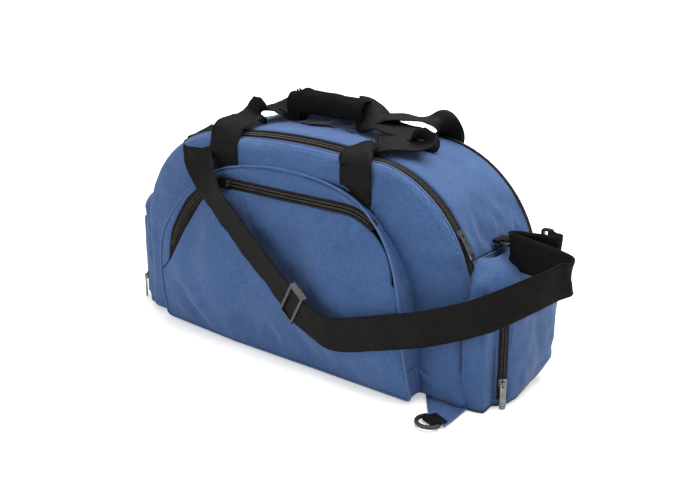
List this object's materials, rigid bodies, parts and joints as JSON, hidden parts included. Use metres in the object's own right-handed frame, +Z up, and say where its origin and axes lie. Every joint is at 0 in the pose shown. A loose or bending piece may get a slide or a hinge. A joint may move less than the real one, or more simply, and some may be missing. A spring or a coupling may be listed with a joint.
{
  "type": "duffel bag",
  "caption": "Soft arched duffel bag with a zipped top opening, a bulging front pocket, an end pocket at each end, webbing handles and a shoulder strap.",
  "frame": {"origin": "centre of the underside of the base, on the floor", "axes": "+X along the bag towards the end shown on the right, +Y towards the back, +Z up"},
  "size_m": [0.6165, 0.2345, 0.3115],
  "materials": {
    "body_cloth": "blue coated woven polyester",
    "base_cloth": "black woven polyester",
    "foam": "closed-cell foam sheet",
    "board": "extruded polyethylene board",
    "piping": "black binding tape",
    "zip_tape": "black woven zip tape",
    "zip_coil": "black nylon coil",
    "zip_metal": "gunmetal",
    "webbing": "black polypropylene webbing",
    "grip_cloth": "black brushed cloth",
    "grip_lining": "navy woven lining",
    "ring_metal": "black enamel",
    "buckle_plastic": "black moulded acetal"
  },
  "bodies": {
    "bag": {"front_panel": "body_cloth", "rear_panel": "body_cloth", "top_gusset": "body_cloth", "left_end_panel": "body_cloth", "right_end_panel": "body_cloth", "base_panel": "base_cloth", "base_pad": "foam", "base_board": "board", "rear_piping": "piping", "main_zip_tape": "zip_tape", "main_zip_coil": "zip_coil", "front_pocket_gusset": "body_cloth", "front_pocket_face": "body_cloth", "front_pocket_flap": "body_cloth", "front_pocket_zip_tape": "zip_tape", "front_pocket_zip_coil": "zip_coil", "front_handle": "webbing", "rear_handle": "webbing", "grip_wrap": "grip_cloth", "grip_lining": "grip_lining", "handle_patches": "webbing", "shoulder_strap": "webbing", "left_end_pocket": "body_cloth", "left_end_zip_tape": "zip_tape", "left_end_zip_coil": "zip_coil", "left_end_tab": "webbing", "left_end_ring": "ring_metal", "left_hook": "ring_metal", "right_end_pocket": "body_cloth", "right_end_zip_tape": "zip_tape", "right_end_zip_coil": "zip_coil", "right_end_tab": "webbing", "right_end_ring": "ring_metal", "right_hook": "ring_metal", "front_corner_tab": "body_cloth", "front_corner_loop": "webbing"},
    "main_slider": {"main_slider": "zip_metal"},
    "main_pull": {"main_pull": "zip_metal"},
    "front_pocket_slider": {"front_pocket_slider": "zip_metal"},
    "front_pocket_pull": {"front_pocket_pull": "zip_metal"},
    "left_end_slider": {"left_end_slider": "zip_metal"},
    "left_end_pull": {"left_end_pull": "zip_metal"},
    "right_end_slider": {"right_end_slider": "zip_metal"},
    "right_end_pull": {"right_end_pull": "zip_metal"},
    "left_hook_gate": {"left_hook_gate": "ring_metal"},
    "right_hook_gate": {"right_hook_gate": "ring_metal"},
    "strap_adjuster": {"strap_adjuster": "buckle_plastic"},
    "front_corner_ring": {"front_corner_ring": "buckle_plastic"}
  },
  "joints": [
    {"name": "main_zip_run", "type": "hinge", "parent": "bag", "child": "main_slider", "pos_m": [0.102, -0.062, 0.11], "axis": [0, -1, 0], "range_deg": [0, 42]},
    {"name": "main_pull_lift", "type": "hinge", "parent": "main_slider", "child": "main_pull", "pos_m": [0.22598, -0.062, 0.18747], "axis": [0, -1, 0], "range_deg": [0, 150]},
    {"name": "front_pocket_zip_run", "type": "slide", "parent": "bag", "child": "front_pocket_slider", "axis": [1, 0, 0], "range_m": [0, 0.16]},
    {"name": "front_pocket_pull_lift", "type": "hinge", "parent": "front_pocket_slider", "child": "front_pocket_pull", "pos_m": [-0.08, -0.09602, 0.19908], "axis": [0, 0.2564, 0.9666], "range_deg": [0, 14]},
    {"name": "right_end_zip_run", "type": "slide", "parent": "bag", "child": "right_end_slider", "axis": [0, 0, 1], "range_m": [-0.014, 0.07]},
    {"name": "right_end_pull_lift", "type": "hinge", "parent": "right_end_slider", "child": "right_end_pull", "pos_m": [0.2802, -0.05598, 0.03], "axis": [-0.6428, -0.766, 0], "range_deg": [0, 150]},
    {"name": "left_end_zip_run", "type": "slide", "parent": "bag", "child": "left_end_slider", "axis": [0, 0, 1], "range_m": [-0.014, 0.07]},
    {"name": "left_end_pull_lift", "type": "hinge", "parent": "left_end_slider", "child": "left_end_pull", "pos_m": [-0.2802, -0.05598, 0.03], "axis": [-0.6428, 0.766, 0], "range_deg": [0, 150]},
    {"name": "right_gate_open", "type": "hinge", "parent": "bag", "child": "right_hook_gate", "pos_m": [0.26886, 0, 0.17539], "axis": [0, -1, 0], "range_deg": [0, 35], "stiffness_Nm_per_rad": 0.01},
    {"name": "left_gate_open", "type": "hinge", "parent": "bag", "child": "left_hook_gate", "pos_m": [-0.22881, 0, 0.1879], "axis": [0, 1, 0], "range_deg": [0, 35], "stiffness_Nm_per_rad": 0.01},
    {"name": "adjuster_slide", "type": "slide", "parent": "bag", "child": "strap_adjuster", "axis": [-0.8088, 0.0899, 0.5812], "range_m": [0, 0.06]},
    {"name": "front_corner_ring_flip", "type": "hinge", "parent": "bag", "child": "front_corner_ring", "pos_m": [0.241, -0.133, 0.0047], "axis": [-0.9292, 0.3697, 0], "range_deg": [-4, 110]}
  ]
}
